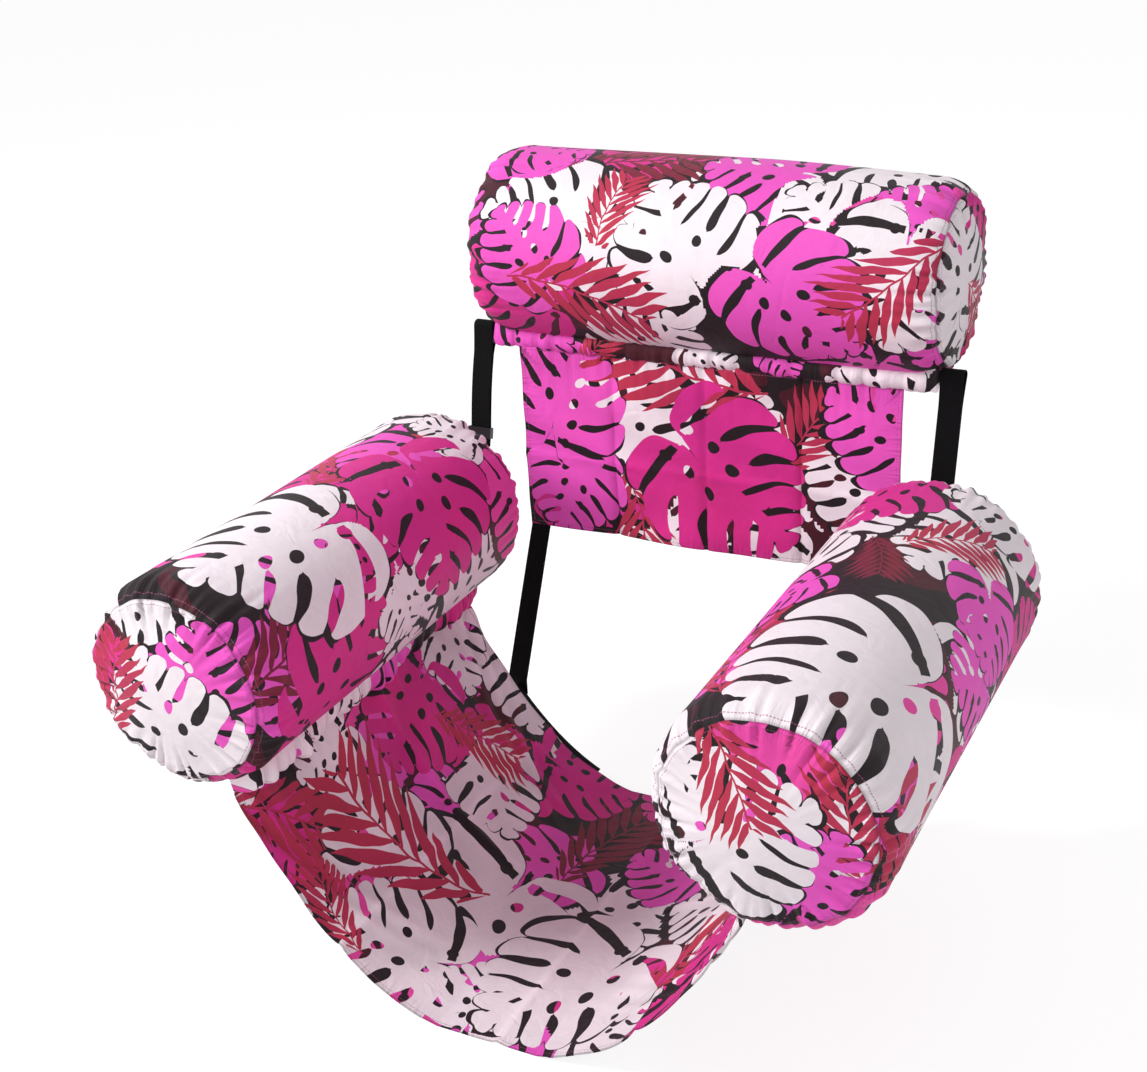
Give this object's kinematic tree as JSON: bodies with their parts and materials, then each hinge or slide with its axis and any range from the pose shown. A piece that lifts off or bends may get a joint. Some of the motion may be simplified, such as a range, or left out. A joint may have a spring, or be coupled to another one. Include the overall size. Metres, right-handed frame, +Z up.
{
  "type": "inflatable pool chair",
  "caption": "Floating pool chair with air-filled armrest and headrest rolls in printed cloth covers, a slung cloth seat, a hanging back panel and webbing straps.",
  "frame": {"origin": "middle of the bounding box's footprint, on the floor plane that the seat's underside rests on", "axes": "+Z up, +Y towards the back, where the headrest is, +X towards the right armrest as seen from the front"},
  "size_m": [0.8178, 0.7804, 0.726],
  "materials": {
    "printed_cover_cloth": "printed tricot knit, matt",
    "end_cap_cloth": "printed tricot knit, matt",
    "seam_cloth": "folded seam allowance of the cover cloth",
    "zip_tape_cloth": "woven zip tape",
    "zip_plastic": "moulded coil, slider and pull",
    "bladder_film": "clear vinyl film",
    "valve_plastic": "soft moulded vinyl",
    "black_webbing": "flat woven webbing",
    "slider_plastic": "moulded strap slider"
  },
  "bodies": {
    "seat": {"seat_sling": "printed_cover_cloth", "left_seat_webbing": "black_webbing", "right_seat_webbing": "black_webbing"},
    "left_armrest": {"left_armrest_sleeve": "printed_cover_cloth", "left_armrest_valve_end_cap": "end_cap_cloth", "left_armrest_far_end_cap": "end_cap_cloth", "left_armrest_bladder": "bladder_film", "left_armrest_valve_stem": "valve_plastic", "left_armrest_seam_strip": "seam_cloth", "left_armrest_zip_tape": "zip_tape_cloth", "left_armrest_zip_teeth": "zip_plastic"},
    "right_armrest": {"right_armrest_sleeve": "printed_cover_cloth", "right_armrest_valve_end_cap": "end_cap_cloth", "right_armrest_far_end_cap": "end_cap_cloth", "right_armrest_bladder": "bladder_film", "right_armrest_valve_stem": "valve_plastic", "right_armrest_seam_strip": "seam_cloth", "right_armrest_zip_tape": "zip_tape_cloth", "right_armrest_zip_teeth": "zip_plastic"},
    "backrest": {"headrest_sleeve": "printed_cover_cloth", "headrest_valve_end_cap": "end_cap_cloth", "headrest_far_end_cap": "end_cap_cloth", "headrest_bladder": "bladder_film", "headrest_valve_stem": "valve_plastic", "headrest_seam_strip": "seam_cloth", "headrest_zip_tape": "zip_tape_cloth", "headrest_zip_teeth": "zip_plastic", "back_panel": "printed_cover_cloth", "left_upper_strap": "black_webbing", "right_upper_strap": "black_webbing", "left_lower_strap": "black_webbing", "right_lower_strap": "black_webbing"},
    "left_armrest_zip_slider": {"left_armrest_zip_slider": "zip_plastic"},
    "left_armrest_zip_pull": {"left_armrest_zip_pull": "zip_plastic"},
    "left_armrest_valve_plug": {"left_armrest_valve_plug": "valve_plastic"},
    "right_armrest_zip_slider": {"right_armrest_zip_slider": "zip_plastic"},
    "right_armrest_zip_pull": {"right_armrest_zip_pull": "zip_plastic"},
    "right_armrest_valve_plug": {"right_armrest_valve_plug": "valve_plastic"},
    "headrest_zip_slider": {"headrest_zip_slider": "zip_plastic"},
    "headrest_zip_pull": {"headrest_zip_pull": "zip_plastic"},
    "headrest_valve_plug": {"headrest_valve_plug": "valve_plastic"},
    "left_strap_slider": {"left_strap_slider": "slider_plastic"},
    "right_strap_slider": {"right_strap_slider": "slider_plastic"}
  },
  "joints": [
    {"name": "left_armrest_tilt", "type": "hinge", "parent": "seat", "child": "left_armrest", "pos_m": [-0.26791, -0.11775, 0.21991], "axis": [0, -1, 0], "range_deg": [-20, 20]},
    {"name": "right_armrest_tilt", "type": "hinge", "parent": "seat", "child": "right_armrest", "pos_m": [0.26791, -0.11775, 0.21991], "axis": [0, 1, 0], "range_deg": [-20, 20]},
    {"name": "backrest_recline", "type": "hinge", "parent": "seat", "child": "backrest", "pos_m": [0, 0.11175, 0.21991], "axis": [-1, 0, 0], "range_deg": [-10, 25], "deforming": ["left_lower_strap", "right_lower_strap"]},
    {"name": "left_armrest_zip_slide", "type": "slide", "parent": "left_armrest", "child": "left_armrest_zip_slider", "axis": [0, -1, 0], "range_m": [0, 0.17]},
    {"name": "left_armrest_zip_pull_swing", "type": "hinge", "parent": "left_armrest_zip_slider", "child": "left_armrest_zip_pull", "pos_m": [-0.33696, 0.09075, 0.2329], "axis": [-0.9435, 0, 0.3313], "range_deg": [-75, 75]},
    {"name": "left_armrest_valve_plug_pull", "type": "slide", "parent": "left_armrest", "child": "left_armrest_valve_plug", "axis": [0, 1, 0], "range_m": [0, 0.006]},
    {"name": "right_armrest_zip_slide", "type": "slide", "parent": "right_armrest", "child": "right_armrest_zip_slider", "axis": [0, -1, 0], "range_m": [0, 0.17]},
    {"name": "right_armrest_zip_pull_swing", "type": "hinge", "parent": "right_armrest_zip_slider", "child": "right_armrest_zip_pull", "pos_m": [0.33696, 0.09075, 0.2329], "axis": [0.9435, 0, 0.3313], "range_deg": [-75, 75]},
    {"name": "right_armrest_valve_plug_pull", "type": "slide", "parent": "right_armrest", "child": "right_armrest_valve_plug", "axis": [0, 1, 0], "range_m": [0, 0.006]},
    {"name": "headrest_zip_slide", "type": "slide", "parent": "backrest", "child": "headrest_zip_slider", "axis": [1, 0, 0], "range_m": [0, 0.17]},
    {"name": "headrest_zip_pull_swing", "type": "hinge", "parent": "headrest_zip_slider", "child": "headrest_zip_pull", "pos_m": [-0.2235, 0.29014, 0.50186], "axis": [0, 0.9963, 0.0863], "range_deg": [-75, 75]},
    {"name": "headrest_valve_plug_pull", "type": "slide", "parent": "backrest", "child": "headrest_valve_plug", "axis": [-1, 0, 0], "range_m": [0, 0.006]},
    {"name": "left_strap_adjust", "type": "slide", "parent": "backrest", "child": "left_strap_slider", "axis": [0, 0.2292, 0.9734], "range_m": [-0.015, 0.06]},
    {"name": "right_strap_adjust", "type": "slide", "parent": "backrest", "child": "right_strap_slider", "axis": [0, 0.2292, 0.9734], "range_m": [-0.015, 0.06]}
  ]
}
